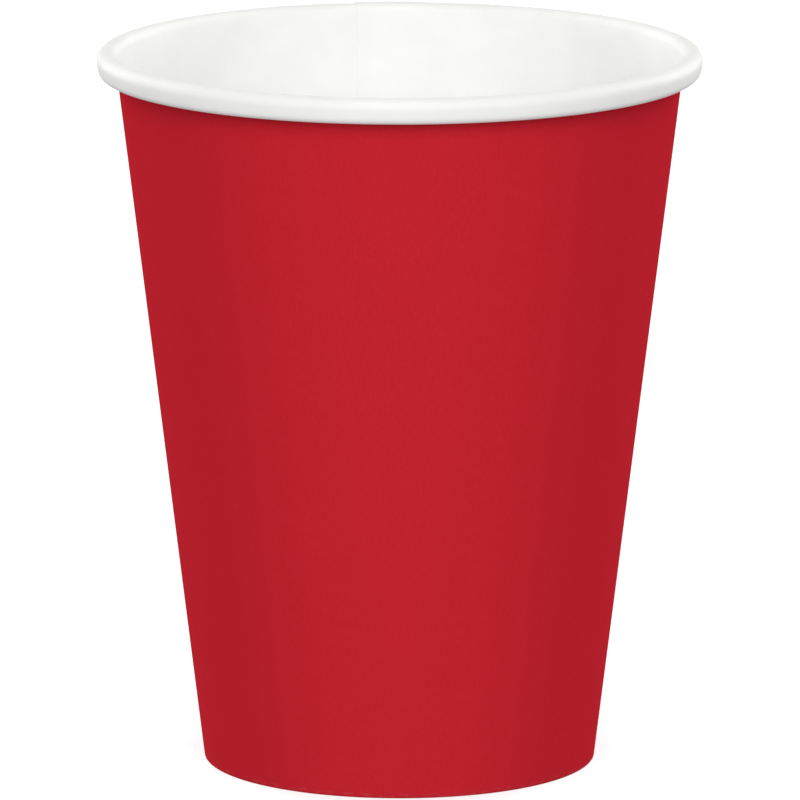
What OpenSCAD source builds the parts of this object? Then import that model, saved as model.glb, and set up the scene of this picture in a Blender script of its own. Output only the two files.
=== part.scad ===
/* [Cup] */
// Height from the table to the top of the rim
cup_h = 95.5; // [60:0.5:130]
// Diameter over the foot, where the wall's outer face reaches the table
foot_d = 52; // [46:0.5:62]
// Diameter over the rolled rim
rim_d = 80; // [74:0.5:92]

/* [Board] */
// Thickness of the sidewall's board
wall_t = 0.3; // [0.24:0.02:0.36]
// Thickness of the bottom's board
disc_t = 0.28; // [0.2:0.02:0.36]
// Space left between two sealed faces
seal_gap = 0.02; // [0.01:0.01:0.05]

/* [Rolled rim] */
// Radius of the roll over its top
roll_r = 1.36; // [1.26:0.02:1.6]
// Straight side of the roll, between its upper and its lower bend
roll_side = 1; // [0.4:0.1:2]
// Space between the wall and the end of the sheet curled in behind it
curl_gap = 0.4; // [0.36:0.02:0.5]
// Radius of the sheet's last bend, inside the roll
tail_r = 0.7; // [0.6:0.05:0.75]

/* [Lap seam] */
// Direction of the inner raw edge from the axis, seen from above
seam_angle = 99; // [0:1:359]
// Width of the lap, measured at the rim
lap_w = 7.5; // [5:0.5:12]
// Board that the second layer adds, pressed flat in the lap
lap_extra = 0.24; // [0.16:0.02:0.28]
// How far the lap stands out of the roll's white face
lap_swell = 0.12; // [0.08:0.02:0.14]
// Width of the strip beside the inner raw edge, where the outer layer climbs over it
climb_w = 1.4; // [1:0.1:2]
// Depth of the groove that the climbing layer leaves inside, beside the raw edge
groove_d = 0.18; // [0.1:0.02:0.2]

/* [Foot] */
// Height of the cup's floor above the table, measured to its underside
floor_h = 7; // [6.5:0.5:10]
// Height of the hem turned up inside the skirt
hem_h = 5.8; // [3.5:0.1:6]
// Outer radius of the two bends in the folded foot
foot_bend = 0.32; // [0.26:0.02:0.4]
// Outer radius of the bend between the floor and its skirt
floor_bend = 0.7; // [0.5:0.05:1]
// Space between the skirt's lower edge and the folded foot
skirt_gap = 0.3; // [0.2:0.05:0.6]
// Number of short grooves that the knurling wheel presses round the hem
knurl_count = 72; // [48:6:96]
// Depth of each groove in the hem's inner face
knurl_depth = 0.09; // [0.05:0.01:0.12]
// Width of each groove
knurl_w = 0.8; // [0.5:0.05:1.2]
// Board left plain between the grooves and the fold below, and the raw edge above
knurl_margin = 1; // [0.8:0.1:1.4]

/* [Hidden] */
$fn = 96;
// Points on a bend of half a turn
bend_points = 20;
// Angle that keeps the first point of one bend clear of the last point of another
bend_step = 5;
// Where on the roll the lap's swelling is full, and where it is gone again, as angles on the bends
swell_full = 140;
swell_gone = -140;
// How far the lap's second layer stops short of the sheet's raw end inside the roll
tail_short = 20;

board_red = [0.75, 0.13, 0.18];
board_white = [0.96, 0.96, 0.94];

foot_r = foot_d / 2;
rim_r = rim_d / 2;
buried = wall_t / 2;
// Centre of the roll's top bend from the foot, whose inner face the wall's outer face runs into
reach = [rim_r - roll_r - foot_r, cup_h - roll_r];
lean = asin((roll_r - wall_t) / norm(reach));
taper = atan2(reach.x, reach.y) - lean;
// Height of that centre along the leaning wall
roll_at = norm(reach) * cos(lean);
roll_low = roll_at - roll_side;
slot_w = disc_t + 2 * seal_gap;
hem_in = -2 * wall_t - slot_w;
lap_angle = lap_w / rim_r * 180 / PI;
climb_angle = climb_w / rim_r * 180 / PI;
// How far the climbing strip reaches in under the lap
climb_under = climb_angle / 4;
floor_top = floor_h + disc_t;
// Height above the fold at which the lap's second layer starts, and the height over which it thickens
lap_low = 2 * foot_bend;
lap_thin = 2 * lap_extra;

// A point given outwards from the wall's outer face and up along it, as radius and height
function on_wall(p) = [
    foot_r + p.x * cos(taper) + p.y * sin(taper),
    p.y * cos(taper) - p.x * sin(taper)
];

// A point at a height, on the line that lies outwards from the wall's outer face by an offset
function face(offset, z) = [foot_r + offset / cos(taper) + z * tan(taper), z];

// The same point turned round the axis
function around(angle, offset, z) = [
    face(offset, z).x * cos(angle),
    face(offset, z).x * sin(angle),
    z
];

// Points on a bend whose radius goes evenly from r0 to r1
function bend(centre, r0, r1, from, to) =
    let (steps = ceil(bend_points * abs(to - from) / 180))
    [for (i = [0 : steps])
        let (a = from + (to - from) * i / steps, r = r0 + (r1 - r0) * i / steps)
        centre + r * [cos(a), sin(a)]];

// Centres of the roll's three bends, outwards from the wall's outer face and up along it
side_x = 2 * roll_r - wall_t;
low_r = (side_x - curl_gap) / 2;
top_centre = [roll_r - wall_t, roll_at];
low_centre = [curl_gap + low_r, roll_low];
tail_centre = [curl_gap + tail_r, roll_at];

// Sheet rolled outwards: over the top, down the side, under, up behind the wall, and in
function roll_face(depth) = concat(
    bend(top_centre, roll_r - depth, roll_r - depth, 180, 0),
    bend(low_centre, low_r - depth, low_r - depth, 0, -180),
    bend(tail_centre, tail_r - depth, tail_r - depth, 180, 90)
);

// The lap's face on the roll: it leaves the wall at one depth and lies at another round the outside
function lap_face(depth, outside) = concat(
    bend(top_centre, roll_r - depth, roll_r - outside, 180, swell_full),
    bend(top_centre, roll_r - outside, roll_r - outside, swell_full - bend_step, 0),
    bend(low_centre, low_r - outside, low_r - outside, 0, -90),
    bend(low_centre, low_r - outside, low_r - depth, -90 - bend_step, swell_gone),
    bend(low_centre, low_r - depth, low_r - depth, swell_gone - bend_step, -180),
    bend(tail_centre, tail_r - depth, tail_r - depth, 180, 90 + tail_short)
);

function reversed(points) = [for (i = [len(points) - 1 : -1 : 0]) points[i]];

// Section of the single sheet, from the hem's raw edge round the foot, up the wall and into the roll
module sheet_section() {
    outer_bend = [face(0, 0).x - foot_bend * tan(45 - taper / 2), foot_bend];
    inner_bend = [face(hem_in, 0).x + foot_bend * tan(45 + taper / 2), foot_bend];
    slot_in = -wall_t - slot_w;
    polygon(concat(
        [face(hem_in, hem_h)],
        bend(inner_bend, foot_bend, foot_bend, 180 - taper, 270),
        bend(outer_bend, foot_bend, foot_bend, 270, 360 - taper),
        [for (p = roll_face(wall_t)) on_wall(p)],
        [for (p = reversed(roll_face(0))) on_wall(p)],
        [face(-wall_t, wall_t), face(slot_in, wall_t), face(slot_in, hem_h)]
    ));
}

// Section of what the second layer adds to the wall and the roll, with its other face in the sheet.
// It thins out to the folded foot, where the layers are pressed together.
module lap_section() {
    polygon(concat(
        [face(-buried, lap_low), face(lap_extra, lap_low + lap_thin)],
        [for (p = lap_face(wall_t + lap_extra, wall_t + lap_extra - lap_swell)) on_wall(p)],
        [for (p = reversed(lap_face(buried, -lap_swell))) on_wall(p)]
    ));
}

// Section of what it adds to the hem, under the floor
module hem_lap_section() {
    polygon([
        face(hem_in + buried, lap_low),
        face(hem_in + buried, hem_h),
        face(hem_in - lap_extra, hem_h),
        face(hem_in - lap_extra, lap_low + lap_thin)
    ]);
}

// A long wedge up the wall, between two directions and between two offsets at each of them
module wedge(first, second, first_span, second_span, low, high) {
    ring = [
        for (z = [low, high])
            each [
                around(first, first_span[0], z),
                around(first, first_span[1], z),
                around(second, second_span[1], z),
                around(second, second_span[0], z)
            ]
    ];
    polyhedron(ring, [
        [3, 2, 1, 0],
        [4, 5, 6, 7],
        [1, 5, 4, 0],
        [2, 6, 5, 1],
        [3, 7, 6, 2],
        [0, 4, 7, 3]
    ]);
}

// The outer layer climbs over the inner raw edge on a slanted strip
module climb_outside() {
    sunk = 0.01;
    wedge(
        seam_angle + climb_angle,
        seam_angle - climb_under,
        [-buried, -sunk],
        [-buried, lap_extra - sunk],
        lap_low,
        on_wall([0, roll_at]).y
    );
}

// The groove that it leaves inside, beside the raw edge, from the floor up over the rim
module groove_inside() {
    clear = 0.01;
    wedge(
        seam_angle + climb_angle,
        seam_angle,
        [-wall_t - roll_r, -wall_t - clear],
        [-wall_t - roll_r, -wall_t + groove_d],
        floor_top,
        cup_h + roll_r
    );
}

// Short upright grooves that the knurling wheel presses into the hem, to bond it to the skirt behind it.
// They are spaced from the raw edge, and those in the lap lie on its second layer.
module hem_knurl() {
    pitch = 360 / knurl_count;
    half = knurl_w / foot_d / PI * 180;
    for (i = [0 : knurl_count - 1]) {
        turned = (i + 0.5) * pitch;
        bottom = hem_in + knurl_depth - (turned < lap_angle ? lap_extra : 0);
        wedge(
            seam_angle - turned + half,
            seam_angle - turned - half,
            [hem_in - wall_t, bottom],
            [hem_in - wall_t, bottom],
            foot_bend + knurl_margin,
            hem_h - knurl_margin
        );
    }
}

module sidewall() {
    color(board_red)
        difference() {
            union() {
                rotate_extrude()
                    sheet_section();
                rotate(seam_angle - lap_angle)
                    rotate_extrude(angle = lap_angle)
                        lap_section();
                rotate(seam_angle - lap_angle)
                    rotate_extrude(angle = lap_angle)
                        hem_lap_section();
                climb_outside();
            }
            groove_inside();
            hem_knurl();
        }
}

module bottom_disc() {
    skirt_out = -wall_t - seal_gap;
    skirt_in = skirt_out - disc_t;
    skirt_low = wall_t + skirt_gap;
    edge_bend = [face(skirt_out, floor_top).x - floor_bend * tan(45 + taper / 2), floor_top - floor_bend];
    inner_r = floor_bend - disc_t;
    color(board_white)
        rotate_extrude()
            polygon(concat(
                [[0, floor_h], [0, floor_top]],
                bend(edge_bend, floor_bend, floor_bend, 90, -taper),
                [face(skirt_out, skirt_low), face(skirt_in, skirt_low)],
                bend(edge_bend, inner_r, inner_r, -taper, 90)
            ));
}

sidewall();
bottom_disc();
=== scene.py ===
import math

import bpy
from mathutils import Matrix, Vector


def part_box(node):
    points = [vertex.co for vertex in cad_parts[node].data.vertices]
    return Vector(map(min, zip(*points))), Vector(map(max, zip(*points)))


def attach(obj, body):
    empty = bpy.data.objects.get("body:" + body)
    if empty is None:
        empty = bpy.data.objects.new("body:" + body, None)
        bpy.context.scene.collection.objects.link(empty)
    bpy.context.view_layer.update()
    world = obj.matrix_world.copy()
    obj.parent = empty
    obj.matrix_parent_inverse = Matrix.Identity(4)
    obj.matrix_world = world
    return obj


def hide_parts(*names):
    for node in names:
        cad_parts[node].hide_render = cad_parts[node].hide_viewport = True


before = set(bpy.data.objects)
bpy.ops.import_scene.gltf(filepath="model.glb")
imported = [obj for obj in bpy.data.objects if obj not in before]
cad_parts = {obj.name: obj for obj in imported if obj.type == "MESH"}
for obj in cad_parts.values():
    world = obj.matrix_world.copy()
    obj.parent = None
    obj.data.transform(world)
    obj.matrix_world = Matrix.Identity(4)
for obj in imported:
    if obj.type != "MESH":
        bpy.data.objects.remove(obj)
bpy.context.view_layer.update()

# Sizes in millimetres. The cup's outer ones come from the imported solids, and the rest are the part's own.
MM = 0.001
wall_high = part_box("sidewall")[1] / MM
disc_low, disc_high = (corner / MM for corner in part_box("bottom_disc"))

board = 0.3
disc_board = 0.28
seal_gap = 0.02
lap_swell = 0.12
rim_r = wall_high.x
cup_h = wall_high.z - lap_swell
foot_r = 26.0
floor_top = disc_high.z
skirt_low = disc_low.z
floor_bend = 0.7

roll_r = 1.36
roll_side = 1.0
curl_gap = 0.4
tail_r = 0.7
slot_w = disc_board + 2 * seal_gap
slot_bend = 0.06
hem_h = 5.8
foot_bend = 0.32

seam_angle = math.radians(99)
lap_w = 7.5

# How the scene softens the lap: a wider ramp beside the raw edge, and the board pressed to a share of itself
climb_w = 3.0
lap_press = 0.6
glue_line = 0.004
fold_squeeze = 0.02

knurl_count = 72
knurl_depth = 0.09
knurl_margin = 1.0
knurl_low = foot_bend + knurl_margin
knurl_high = hem_h - knurl_margin
rim_tilt = math.radians(0.04)
rim_wobble = 0.2

steps_per_knurl = 8
wall_rows = 14
bend_rows = 12

# The wall's outer face starts at the foot and runs into the inner face of the roll's top bend
reach = Vector((rim_r - roll_r - foot_r, cup_h - roll_r))
lean = math.asin((roll_r - board) / reach.length)
taper = math.atan2(reach.x, reach.y) - lean
roll_at = reach.length * math.cos(lean)
roll_low = roll_at - roll_side
outward = Vector((math.cos(taper), -math.sin(taper)))
upward = Vector((math.sin(taper), math.cos(taper)))


def on_wall(offset, height):
    """A point given outwards from the wall's outer face and up along it, as radius and height."""
    return Vector((foot_r, 0)) + offset * outward + height * upward


def face_at(offset, z):
    """The point at a height on the line that lies outwards from the wall's outer face by an offset."""
    return Vector((foot_r + offset / math.cos(taper) + z * math.tan(taper), z))


def turn(centre, radius, start, end, rows, side=1):
    """Rows of a bend: each is its point and the direction that its white face looks in."""
    for i in range(rows + 1):
        a = start + (end - start) * i / rows
        way = Vector((math.cos(a), math.sin(a)))
        yield centre + radius * way, side * way


def sheet_rows():
    """White face of the sidewall's blank, from the hem's raw edge round the foot, up and into the roll."""
    rows = []

    def take(points, roll=0.0, hem=0.0, fold=0.0):
        for point, way in points:
            rows.append({"point": point, "white": way, "roll": roll, "hem": hem, "fold": fold})

    slot_in = -board - slot_w
    knurl_ease = 0.3
    hem_middle = 3.1
    for z in (hem_h, knurl_high, knurl_high - knurl_ease, hem_middle, knurl_low + knurl_ease, knurl_low):
        take([(face_at(slot_in, z), outward)], hem=float(knurl_low < z < knurl_high))
    in_corner = face_at(slot_in, board) + Vector((slot_bend, slot_bend))
    out_corner = face_at(-board, board) + Vector((-slot_bend, slot_bend))
    take(turn(in_corner, slot_bend, math.pi - taper, 1.5 * math.pi, 4, side=-1), fold=1.0)
    take(turn(out_corner, slot_bend, -0.5 * math.pi, -taper, 4, side=-1), fold=1.0)
    wall_start = 1.1
    for i in range(wall_rows):
        height = wall_start + (roll_at - wall_start) * i / wall_rows
        take([(on_wall(-board, height), -outward)])

    def bend(centre, radius, start, end, rows_here, roll):
        take(turn(centre, radius, start - taper, end - taper, rows_here), roll)

    top = on_wall(roll_r - board, roll_at)
    low_r = (2 * roll_r - board - curl_gap) / 2
    low = on_wall(curl_gap + low_r, roll_low)
    tail = on_wall(curl_gap + tail_r, roll_at)
    easing = 3
    for i in range(easing):
        span = math.pi / 4 / easing
        take(
            [next(turn(top, roll_r, math.pi - taper - i * span, 0, 1))],
            roll=i / easing,
        )
    bend(top, roll_r, 0.75 * math.pi, 0, bend_rows, 1.0)
    bend(low, low_r, 0, -0.5 * math.pi, bend_rows // 2, 1.0)
    bend(low, low_r, -0.6 * math.pi, -math.pi, bend_rows // 2 - 1, 0.0)
    bend(tail, tail_r, math.pi, 0.5 * math.pi, bend_rows // 2, 0.0)
    return rows


def disc_rows():
    """White face of the bottom's blank, from the centre of the floor down the skirt."""
    skirt_out = -board - seal_gap
    corner = face_at(skirt_out, floor_top) - floor_bend * Vector((math.tan(math.pi / 4 + taper / 2), 1))
    rows = []
    floor_rings = (0.0, 2.0, 5.0, 10.0, 15.0, 19.0, 22.0, 24.0)
    for r in floor_rings:
        rows.append({"point": Vector((r, floor_top)), "white": Vector((0, 1))})
    for point, way in turn(corner, floor_bend, 0.5 * math.pi, -taper, 8):
        rows.append({"point": point, "white": way})
    for share in (0.25, 0.5, 0.75, 1.0):
        start = corner.y - floor_bend * math.sin(taper)
        rows.append({"point": face_at(skirt_out, start + (skirt_low - start) * share), "white": outward})
    for row in rows:
        row["roll"] = row["hem"] = row["fold"] = 0.0
    return rows


def add(tree, kind, inputs=None, **settings):
    """Adds a node. A value of inputs is a number, a colour, a socket, or a node for its first output."""
    node = tree.nodes.new(kind)
    for name, value in settings.items():
        setattr(node, name, value)
    for key, value in (inputs or {}).items():
        if isinstance(value, bpy.types.Node):
            value = next(out for out in value.outputs if out.enabled)
        if isinstance(value, bpy.types.NodeSocket):
            tree.links.new(value, node.inputs[key])
        else:
            node.inputs[key].default_value = value
    return node


def wrapping_tree():
    """Wraps a flat blank round the cup's axis along its section, its outer layer climbing over its inner."""
    tree = bpy.data.node_groups.new("wrapped_blank", "GeometryNodeTree")
    sizes = {
        "Steps Around": ("NodeSocketInt", 96),
        "First Edge Angle": ("NodeSocketFloat", 0.0),
        "Lap Angle": ("NodeSocketFloat", 0.0),
        "Climb Angle": ("NodeSocketFloat", 0.04),
        "Layer Step": ("NodeSocketFloat", 0.0),
        "Roll Swell": ("NodeSocketFloat", 0.0),
        "Knurl Count": ("NodeSocketFloat", 72.0),
        "Knurl Pressing": ("NodeSocketFloat", 0.0),
        "Lap Pressing": ("NodeSocketFloat", 0.4),
        "Fold Pressing": ("NodeSocketFloat", 0.2),
        "Rim Tilt": ("NodeSocketFloat", 0.0),
        "Rim Height": ("NodeSocketFloat", 0.1),
        "Wobble": ("NodeSocketFloat", 0.0),
        "Seed": ("NodeSocketFloat", 4.0),
        "Round Blank": ("NodeSocketBool", False),
    }
    tree.interface.new_socket("Section", in_out="INPUT", socket_type="NodeSocketGeometry")
    for name, (kind, value) in sizes.items():
        tree.interface.new_socket(name, in_out="INPUT", socket_type=kind).default_value = value
    tree.interface.new_socket("Board", in_out="INPUT", socket_type="NodeSocketMaterial")
    tree.interface.new_socket("Wrapped", in_out="OUTPUT", socket_type="NodeSocketGeometry")
    given = add(tree, "NodeGroupInput").outputs

    # The flat blank: one column of the grid for each step round the cup, one row for each section point
    count = add(tree, "GeometryNodeAttributeDomainSize", {0: given["Section"]}).outputs["Point Count"]
    columns = add(tree, "ShaderNodeMath", {0: given["Steps Around"], 1: 1.0}, operation="ADD")
    grid = add(
        tree,
        "GeometryNodeMeshGrid",
        {"Size X": 1.0, "Size Y": 1.0, "Vertices X": columns, "Vertices Y": count},
    )
    place = add(tree, "ShaderNodeSeparateXYZ", {0: add(tree, "GeometryNodeInputPosition")})
    share = add(tree, "ShaderNodeMath", {0: place.outputs["X"], 1: 0.5}, operation="ADD")
    row_share = add(tree, "ShaderNodeMath", {0: place.outputs["Y"], 1: 0.5}, operation="ADD")
    last_row = add(tree, "ShaderNodeMath", {0: count, 1: 1.0}, operation="SUBTRACT")
    row = add(tree, "ShaderNodeMath", {0: row_share, 1: last_row, 2: 0.5}, operation="MULTIPLY_ADD")
    row = add(tree, "ShaderNodeMath", {0: row}, operation="FLOOR")

    def from_section(value, kind):
        return add(
            tree,
            "GeometryNodeSampleIndex",
            {"Geometry": given["Section"], "Value": value, "Index": row},
            data_type=kind,
        )

    def named(name, kind):
        return add(tree, "GeometryNodeInputNamedAttribute", {"Name": name}, data_type=kind)

    section_point = from_section(add(tree, "GeometryNodeInputPosition"), "FLOAT_VECTOR")
    section_white = from_section(named("white", "FLOAT_VECTOR"), "FLOAT_VECTOR")
    point = add(tree, "ShaderNodeSeparateXYZ", {0: section_point})
    white = add(tree, "ShaderNodeSeparateXYZ", {0: section_white})
    roll = from_section(named("roll", "FLOAT"), "FLOAT")
    hem = from_section(named("hem", "FLOAT"), "FLOAT")
    fold = from_section(named("fold", "FLOAT"), "FLOAT")
    sheet = from_section(named("sheet", "FLOAT"), "FLOAT")

    # How far round each column lies from the first raw edge, and so which layer it is
    full = add(tree, "ShaderNodeMath", {0: given["Lap Angle"], 1: 2 * math.pi}, operation="ADD")
    turned = add(tree, "ShaderNodeMath", {0: share, 1: full}, operation="MULTIPLY")
    angle = add(tree, "ShaderNodeMath", {0: given["First Edge Angle"], 1: turned}, operation="SUBTRACT")
    climb_start = add(tree, "ShaderNodeMath", {0: 2 * math.pi, 1: given["Climb Angle"]}, operation="SUBTRACT")
    outer = add(
        tree,
        "ShaderNodeMapRange",
        {"Value": turned, "From Min": climb_start, "From Max": 2 * math.pi},
        interpolation_type="SMOOTHSTEP",
    )
    ease_end = add(tree, "ShaderNodeMath", {0: given["Lap Angle"], 1: given["Climb Angle"]}, operation="ADD")
    over_lap = add(
        tree,
        "ShaderNodeMapRange",
        {"Value": turned, "From Min": given["Lap Angle"], "From Max": ease_end, "To Min": 1.0, "To Max": 0.0},
        interpolation_type="SMOOTHSTEP",
    )
    doubled = add(tree, "ShaderNodeMath", {0: outer, 1: over_lap}, operation="ADD")

    # Distance towards the white side: the roll swells over the lap, and the outer layer lies behind the inner
    swell = add(tree, "ShaderNodeMath", {0: doubled, 1: roll}, operation="MULTIPLY")
    swell = add(tree, "ShaderNodeMath", {0: swell, 1: given["Roll Swell"]}, operation="MULTIPLY")
    behind = add(tree, "ShaderNodeMath", {0: outer, 1: given["Layer Step"]}, operation="MULTIPLY")
    offset = add(tree, "ShaderNodeMath", {0: swell, 1: behind}, operation="SUBTRACT")

    # How much of the board's thickness is left: the lap's inner layer is pressed, in the fold both layers
    # are, and the knurl presses grooves
    pressed = add(tree, "ShaderNodeMath", {0: over_lap, 1: given["Lap Pressing"]}, operation="MULTIPLY")
    in_fold = add(tree, "ShaderNodeMath", {0: outer, 1: fold}, operation="MULTIPLY")
    in_fold = add(tree, "ShaderNodeMath", {0: in_fold, 1: given["Fold Pressing"]}, operation="MULTIPLY")
    pressed = add(tree, "ShaderNodeMath", {0: pressed, 1: in_fold}, operation="ADD")
    ridges = add(tree, "ShaderNodeMath", {0: turned, 1: given["Knurl Count"]}, operation="MULTIPLY")
    ridges = add(tree, "ShaderNodeMath", {0: ridges}, operation="COSINE")
    grooves = add(
        tree,
        "ShaderNodeMapRange",
        {"Value": ridges, "From Min": -0.15, "From Max": -0.75},
        interpolation_type="SMOOTHSTEP",
    )
    grooves = add(tree, "ShaderNodeMath", {0: grooves, 1: given["Knurl Pressing"]}, operation="MULTIPLY")
    grooves = add(tree, "ShaderNodeMath", {0: grooves, 1: hem}, operation="MULTIPLY")
    left = add(tree, "ShaderNodeMath", {0: 1.0, 1: pressed}, operation="SUBTRACT")
    left = add(tree, "ShaderNodeMath", {0: left, 1: grooves}, operation="SUBTRACT")

    # The board is never quite round: a slow wobble that grows towards the rim, and the rim's slight tilt
    sine = add(tree, "ShaderNodeMath", {0: angle}, operation="SINE")
    cosine = add(tree, "ShaderNodeMath", {0: angle}, operation="COSINE")
    high = add(tree, "ShaderNodeMath", {0: point.outputs["Z"], 1: given["Rim Height"]}, operation="DIVIDE")
    high = add(tree, "ShaderNodeMath", {0: high, 1: 2.0}, operation="POWER")
    way = add(tree, "ShaderNodeCombineXYZ", {"X": cosine, "Y": sine, "Z": high})
    noise = add(
        tree,
        "ShaderNodeTexNoise",
        {"Vector": way, "W": given["Seed"], "Scale": 1.3, "Detail": 1.0},
        noise_dimensions="4D",
    )
    wobble = add(tree, "ShaderNodeMath", {0: noise, 1: 0.5}, operation="SUBTRACT")
    wobble = add(tree, "ShaderNodeMath", {0: wobble, 1: given["Wobble"]}, operation="MULTIPLY")
    wobble = add(tree, "ShaderNodeMath", {0: wobble, 1: high}, operation="MULTIPLY")
    radius = add(
        tree,
        "ShaderNodeMath",
        {0: offset, 1: white.outputs["X"], 2: point.outputs["X"]},
        operation="MULTIPLY_ADD",
    )
    radius = add(tree, "ShaderNodeMath", {0: radius, 1: wobble}, operation="ADD")
    height = add(
        tree,
        "ShaderNodeMath",
        {0: offset, 1: white.outputs["Z"], 2: point.outputs["Z"]},
        operation="MULTIPLY_ADD",
    )
    across = add(tree, "ShaderNodeMath", {0: radius, 1: cosine}, operation="MULTIPLY")
    depth = add(tree, "ShaderNodeMath", {0: radius, 1: sine}, operation="MULTIPLY")
    tilt = add(tree, "ShaderNodeMath", {0: across, 1: given["Rim Tilt"]}, operation="MULTIPLY")
    height = add(tree, "ShaderNodeMath", {0: tilt, 1: high, 2: height}, operation="MULTIPLY_ADD")
    spot = add(tree, "ShaderNodeCombineXYZ", {"X": across, "Y": depth, "Z": height})

    # Where each point was on the flat blank, in metres, so that fibres and print follow the sheet
    round_way = add(tree, "ShaderNodeMath", {0: turned, 1: 0.5 * (rim_r + foot_r) * MM}, operation="MULTIPLY")
    strip = add(tree, "ShaderNodeCombineXYZ", {"X": round_way, "Y": sheet})
    disc_x = add(tree, "ShaderNodeMath", {0: sheet, 1: cosine}, operation="MULTIPLY")
    disc_y = add(tree, "ShaderNodeMath", {0: sheet, 1: sine}, operation="MULTIPLY")
    disc = add(tree, "ShaderNodeCombineXYZ", {"X": disc_x, "Y": disc_y})
    flat = add(
        tree,
        "GeometryNodeSwitch",
        {"Switch": given["Round Blank"], "False": strip, "True": disc},
        input_type="VECTOR",
    )
    marked = add(
        tree,
        "GeometryNodeStoreNamedAttribute",
        {"Geometry": grid.outputs["Mesh"], "Name": "blank", "Value": flat},
        data_type="FLOAT_VECTOR",
        domain="POINT",
    )
    marked = add(
        tree,
        "GeometryNodeStoreNamedAttribute",
        {"Geometry": marked, "Name": "thickness_left", "Value": left},
        data_type="FLOAT",
        domain="POINT",
    )
    wrapped = add(tree, "GeometryNodeSetPosition", {"Geometry": marked, "Position": spot})
    closed = add(tree, "GeometryNodeMergeByDistance", {"Geometry": wrapped, "Distance": 1e-6})
    real = add(tree, "GeometryNodeRealizeInstances", {"Geometry": closed})
    coated = add(tree, "GeometryNodeSetMaterial", {"Geometry": real, "Material": given["Board"]})
    tree.nodes.new("NodeGroupOutput")
    tree.links.new(coated.outputs[0], tree.nodes["Group Output"].inputs["Wrapped"])
    return tree


def evaluated(obj, name):
    """The object's shape as a plain mesh, with its modifiers in it and off the object."""
    depsgraph = bpy.context.evaluated_depsgraph_get()
    mesh = bpy.data.meshes.new_from_object(obj.evaluated_get(depsgraph))
    mesh.name = name
    obj.modifiers.clear()
    obj.data = mesh
    return mesh


def wrapped_board(name, rows, thickness, faces, sizes):
    """A piece of board: its section wrapped round the axis, then given its thickness and its cut edges."""
    section = bpy.data.meshes.new(name + "_section")
    points = [(row["point"].x * MM, 0, row["point"].y * MM) for row in rows]
    section.from_pydata(points, [(i, i + 1) for i in range(len(points) - 1)], [])
    section.attributes.new("white", "FLOAT_VECTOR", "POINT").data.foreach_set(
        "vector", [value for row in rows for value in (row["white"].x, 0, row["white"].y)]
    )
    run = 0.0
    runs = []
    for i, row in enumerate(rows):
        run += (row["point"] - rows[max(i - 1, 0)]["point"]).length * MM
        runs.append(run)
    section.attributes.new("sheet", "FLOAT", "POINT").data.foreach_set("value", runs)
    for key in ("roll", "hem", "fold"):
        section.attributes.new(key, "FLOAT", "POINT").data.foreach_set("value", [row[key] for row in rows])
    obj = bpy.data.objects.new(name, section)
    bpy.context.collection.objects.link(obj)

    wrap = obj.modifiers.new("wrap", "NODES")
    wrap.node_group = wrapping
    sockets = {item.name: item.identifier for item in wrapping.interface.items_tree if item.in_out == "INPUT"}
    for key, value in sizes.items():
        wrap[sockets[key]] = value
    wrap[sockets["Board"]] = faces[0]
    sheet = evaluated(obj, name + "_sheet")

    full = [0.0] * len(sheet.vertices)
    sheet.attributes["thickness_left"].data.foreach_get("value", full)
    group = obj.vertex_groups.new(name="thickness")
    for share in sorted(set(round(value, 2) for value in full)):
        group.add([i for i, value in enumerate(full) if round(value, 2) == share], share, "REPLACE")

    for material in faces[1:]:
        obj.data.materials.append(material)
    thick = obj.modifiers.new("board", "SOLIDIFY")
    thick.thickness = thickness * MM
    thick.offset = -1.0
    thick.use_even_offset = True
    thick.vertex_group = "thickness"
    thick.material_offset = 1
    thick.material_offset_rim = 2
    mesh = evaluated(obj, name)
    mesh.shade_smooth()
    mesh.set_sharp_from_angle(angle=math.radians(50))
    return obj


def linear(hex_code):
    """An sRGB hex colour as the linear one that a shader takes."""
    parts = [int(hex_code[i : i + 2], 16) / 255 for i in (0, 2, 4)]
    return [c / 12.92 if c <= 0.04045 else ((c + 0.055) / 1.055) ** 2.4 for c in parts] + [1.0]


def new_material(name, colour, roughness, ior=1.5):
    """A material with its tree and shader, set to the mean colour and roughness that it then varies."""
    material = bpy.data.materials.new(name)
    material.use_nodes = True
    tree = material.node_tree
    shader = tree.nodes["Principled BSDF"]
    shader.inputs["Base Color"].default_value = linear(colour)
    shader.inputs["Roughness"].default_value = roughness
    shader.inputs["IOR"].default_value = ior
    return material, tree, shader


def on_blank(tree, stretch=(1.0, 1.0, 1.0)):
    """Coordinates in metres on the flat sheet, round the cup in X and up the wall in Y."""
    flat = add(tree, "ShaderNodeAttribute", attribute_name="blank").outputs["Vector"]
    return add(tree, "ShaderNodeMapping", {"Vector": flat, "Scale": stretch})


def cloud(tree, where, size_mm, low, high, detail=2.0, roughness=0.5):
    """Soft noise whose blotches have a real size, spread between two values."""
    noise = add(
        tree,
        "ShaderNodeTexNoise",
        {"Vector": where, "Scale": 1 / (size_mm * MM), "Detail": detail, "Roughness": roughness},
    )
    return add(
        tree,
        "ShaderNodeMapRange",
        {"Value": noise, "From Min": 0.3, "From Max": 0.7, "To Min": low, "To Max": high},
    )


def blend(tree, share, first, second):
    """Mixes two colours, each an sRGB hex colour or a socket."""
    first, second = (linear(value) if isinstance(value, str) else value for value in (first, second))
    mix = add(tree, "ShaderNodeMix", {"Factor": share, "A": first, "B": second}, data_type="RGBA")
    return mix.outputs["Result"]


def bumped(tree, shader, height, distance_mm):
    """Fine relief that is too small for the mesh."""
    bump = add(tree, "ShaderNodeBump", {"Height": height, "Distance": distance_mm * MM})
    tree.links.new(bump.outputs["Normal"], shader.inputs["Normal"])


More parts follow.
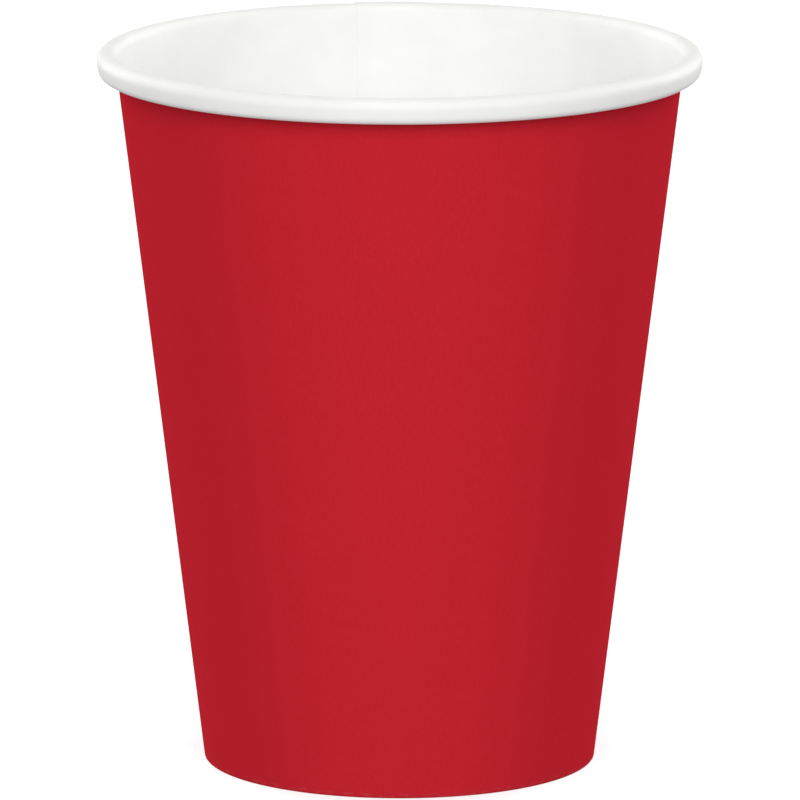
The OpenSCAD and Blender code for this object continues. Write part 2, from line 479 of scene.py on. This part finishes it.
def printed_board():
    """Clay-coated board, offset-printed red under a dull varnish: an even, saturated red with little gloss.

    The ink lies a trace thinner on the board's fibre clumps, so its depth wanders by one or two per cent.
    """
    material, tree, shader = new_material("red_offset_printed_board", "C7232F", 0.6)
    shader.inputs["Specular IOR Level"].default_value = 0.0
    shader.inputs["Sheen Weight"].default_value = 0.08
    shader.inputs["Sheen Roughness"].default_value = 0.35
    shader.inputs["Sheen Tint"].default_value = linear("E0303A")
    sheet = on_blank(tree)
    along = on_blank(tree, (1.0, 0.35, 1.0))
    ink = blend(tree, cloud(tree, sheet, 5.0, 0.0, 1.0, detail=3.0), "C6222E", "C72330")
    fibres = cloud(tree, along, 0.35, 0.0, 0.16, detail=4.0, roughness=0.65)
    ink = blend(tree, fibres, ink, "D83A45")

    # At the foot's fold the ink cracks and rubs off, and a painted highlight lies along the fold, on a line
    # less than a millimetre wide.
    # The fold's run is its distance along the sheet from the hem's raw edge.
    inner_bend_run = 0.2
    fold_run = hem_h - board + slot_w + inner_bend_run
    place = add(tree, "ShaderNodeSeparateXYZ", {0: sheet})
    from_fold = add(tree, "ShaderNodeMath", {0: place.outputs["Y"], 1: fold_run * MM}, operation="SUBTRACT")
    from_fold = add(tree, "ShaderNodeMath", {0: from_fold}, operation="ABSOLUTE")
    near = add(
        tree,
        "ShaderNodeMapRange",
        {"Value": from_fold, "From Min": 0.1 * MM, "From Max": 0.4 * MM, "To Min": 0.07, "To Max": 0.0},
    )
    fold_rub_and_highlight_patches = cloud(tree, on_blank(tree, (0.3, 1.0, 1.0)), 0.5, -0.6, 1.0, detail=5.0)
    fold_wear_and_highlight = add(tree, "ShaderNodeMath", {0: fold_rub_and_highlight_patches, 1: near}, operation="MULTIPLY", use_clamp=True)
    # Lightens the fold's line: partly cracked, rubbed ink and partly a painted highlight
    ink = blend(tree, fold_wear_and_highlight, ink, "D9A49E")
    tree.links.new(ink, shader.inputs["Base Color"])
    tree.links.new(cloud(tree, sheet, 7.0, 0.52, 0.66).outputs["Result"], shader.inputs["Roughness"])
    bumped(tree, shader, fibres, 0.012)
    return material


def coated_board():
    """Bleached board under an extruded polyethylene film: a clean white with a soft, slightly uneven gloss.

    The film follows the fibres beneath like orange peel, and a few grey specks of filler show through it.
    """
    material, tree, shader = new_material("white_polyethylene_coated_board", "F8F8F5", 0.56, ior=1.51)
    shader.inputs["Specular IOR Level"].default_value = 0.12
    sheet = on_blank(tree)
    white = blend(tree, cloud(tree, sheet, 6.0, 0.0, 1.0, detail=3.0), "F6F6F3", "FAFAF8")
    cells = add(tree, "ShaderNodeTexVoronoi", {"Vector": sheet, "Scale": 1 / (9 * MM)})
    speck = add(
        tree,
        "ShaderNodeMapRange",
        {
            "Value": cells.outputs["Distance"],
            "From Min": 0.008,
            "From Max": 0.02,
            "To Min": 0.4,
            "To Max": 0.0,
        },
    )
    chosen = add(tree, "ShaderNodeSeparateColor", {0: cells.outputs["Color"]})
    chosen = add(tree, "ShaderNodeMath", {0: chosen.outputs["Red"], 1: 0.75}, operation="GREATER_THAN")
    speck = add(tree, "ShaderNodeMath", {0: speck, 1: chosen}, operation="MULTIPLY")
    white = blend(tree, speck, white, "8C8880")
    tree.links.new(white, shader.inputs["Base Color"])
    tree.links.new(cloud(tree, sheet, 3.0, 0.5, 0.62).outputs["Result"], shader.inputs["Roughness"])
    bumped(tree, shader, cloud(tree, sheet, 1.6, 0.0, 1.0, detail=3.0), 0.016)
    return material


def plain_board():
    """The board's uncoated side, under the floor: matt and a little warmer, with its fibres in plain view."""
    material, tree, shader = new_material("white_uncoated_board", "EFECE4", 0.85)
    shader.inputs["Specular IOR Level"].default_value = 0.15
    across = on_blank(tree, (1.0, 0.15, 1.0))
    along = on_blank(tree, (0.15, 1.0, 1.0))
    fibres_across = cloud(tree, across, 0.12, 0.0, 1.0, detail=3.0)
    fibres_along = cloud(tree, along, 0.12, 0.0, 1.0, detail=3.0)
    mat = add(tree, "ShaderNodeMath", {0: fibres_across, 1: fibres_along}, operation="MAXIMUM")
    board_white = blend(tree, cloud(tree, on_blank(tree), 3.0, 0.0, 1.0, detail=4.0), "E6E2D8", "EFECE4")
    board_white = blend(tree, mat, board_white, "F3F1EA")
    tree.links.new(board_white, shader.inputs["Base Color"])
    tree.links.new(cloud(tree, across, 1.0, 0.78, 0.92).outputs["Result"], shader.inputs["Roughness"])
    bumped(tree, shader, mat, 0.03)
    return material


def cut_board():
    """The board's cut edge: pressed, torn fibre ends, off-white, matt and rough."""
    material, tree, shader = new_material("cut_board_edge", "EBE9E2", 0.9)
    shader.inputs["Specular IOR Level"].default_value = 0.1
    place = add(tree, "ShaderNodeTexCoord").outputs["Object"]
    fibre = cloud(tree, place, 0.06, 0.0, 1.0, detail=4.0, roughness=0.7)
    tree.links.new(blend(tree, fibre, "E2DFD6", "F4F3EE"), shader.inputs["Base Color"])
    tree.links.new(cloud(tree, place, 0.4, 0.84, 0.96).outputs["Result"], shader.inputs["Roughness"])
    bumped(tree, shader, fibre, 0.02)
    return material


red_print = printed_board()
white_film = coated_board()
bare_board = plain_board()
raw_edge = cut_board()

wrapping = wrapping_tree()
sidewall = wrapped_board(
    "wrapped_sidewall",
    sheet_rows(),
    board,
    [white_film, red_print, raw_edge],
    {
        "Steps Around": round((1 + lap_w / rim_r / (2 * math.pi)) * knurl_count * steps_per_knurl),
        "First Edge Angle": seam_angle,
        "Lap Angle": lap_w / rim_r,
        "Climb Angle": climb_w / rim_r,
        "Layer Step": (lap_press * board + glue_line) * MM,
        "Roll Swell": lap_swell * MM,
        "Knurl Count": float(knurl_count),
        "Knurl Pressing": knurl_depth / board,
        "Lap Pressing": 1 - lap_press,
        "Fold Pressing": lap_press + fold_squeeze,
        "Rim Tilt": math.tan(rim_tilt),
        "Rim Height": cup_h * MM,
        "Wobble": rim_wobble * MM,
    },
)
bottom = wrapped_board(
    "seated_bottom",
    disc_rows(),
    disc_board,
    [white_film, bare_board, raw_edge],
    {"Steps Around": 288, "Round Blank": True},
)
pieces = (
    (sidewall, "sidewall", "printed_cup_board"),
    (bottom, "bottom_disc", "white_cup_board"),
)
for piece, node, slot in pieces:
    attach(piece, "root")
    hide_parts(node)

# The photograph's view: a long lens, looking down at the cup
view_drop = 0.19735
view_distance = 1416.3 * MM
view_height = 48.23 * MM
view_roll = 0.0007
camera_data = bpy.data.cameras.new("camera")
camera_data.lens = 479.69
camera_data.sensor_width = 36.0
camera_data.clip_end = 20.0
camera = bpy.data.objects.new("camera", camera_data)
camera.location = (
    0.055 * MM,
    -view_distance * math.cos(view_drop),
    view_height + view_distance * math.sin(view_drop),
)
facing = Matrix.Rotation(math.pi / 2 - view_drop, 3, "X") @ Matrix.Rotation(view_roll, 3, "Z")
camera.rotation_euler = facing.to_euler()
bpy.context.collection.objects.link(camera)
bpy.context.scene.camera = camera

# A plain white table
floor_mesh = bpy.data.meshes.new("table")
half = 3.0
corners = [(-half, -half, 0), (half, -half, 0), (half, half, 0), (-half, half, 0)]
floor_mesh.from_pydata(corners, [], [(0, 1, 2, 3)])
table = bpy.data.objects.new("table", floor_mesh)
table_material, _, table_shader = new_material("opal_light_table", "BCBCBC", 0.9)
table_shader.inputs["Specular IOR Level"].default_value = 0.1
table_shader.inputs["Emission Color"].default_value = (1, 1, 1, 1)
table_shader.inputs["Emission Strength"].default_value = 0.66
floor_mesh.materials.append(table_material)
bpy.context.collection.objects.link(table)

# As in the photograph, the table throws no light back on the cup
table.visible_diffuse = False
table.visible_glossy = False

lamp_distance = 1.4
lamp_aim = Vector((0, 0, 0.05))


def softbox(name, turned, raised, width, height, power):
    """A rectangular lamp that looks at the cup, turned round it from the front and raised, in degrees."""
    light = bpy.data.lights.new(name, "AREA")
    light.shape = "RECTANGLE"
    light.size = width
    light.size_y = height
    light.energy = power
    turned = math.radians(turned)
    raised = math.radians(raised)
    level = Vector((math.sin(turned), -math.cos(turned), 0)) * math.cos(raised)
    way = level + Vector((0, 0, math.sin(raised)))
    lamp = bpy.data.objects.new(name, light)
    lamp.location = lamp_aim + lamp_distance * way
    lamp.rotation_euler = way.to_track_quat("Z", "Y").to_euler()
    bpy.context.collection.objects.link(lamp)


softbox("front_softbox", 0, 28, 0.7, 0.9, 11.9)
softbox("back_left_softbox", -135, 15, 0.5, 0.8, 11.0)
softbox("back_right_softbox", 135, 15, 0.5, 0.8, 10.5)

world = bpy.data.worlds.new("studio")
bpy.context.scene.world = world
world.use_nodes = True
world.node_tree.nodes["Background"].inputs["Color"].default_value = (1, 1, 1, 1)
world.node_tree.nodes["Background"].inputs["Strength"].default_value = 0.43
bpy.context.scene.view_settings.view_transform = "Standard"
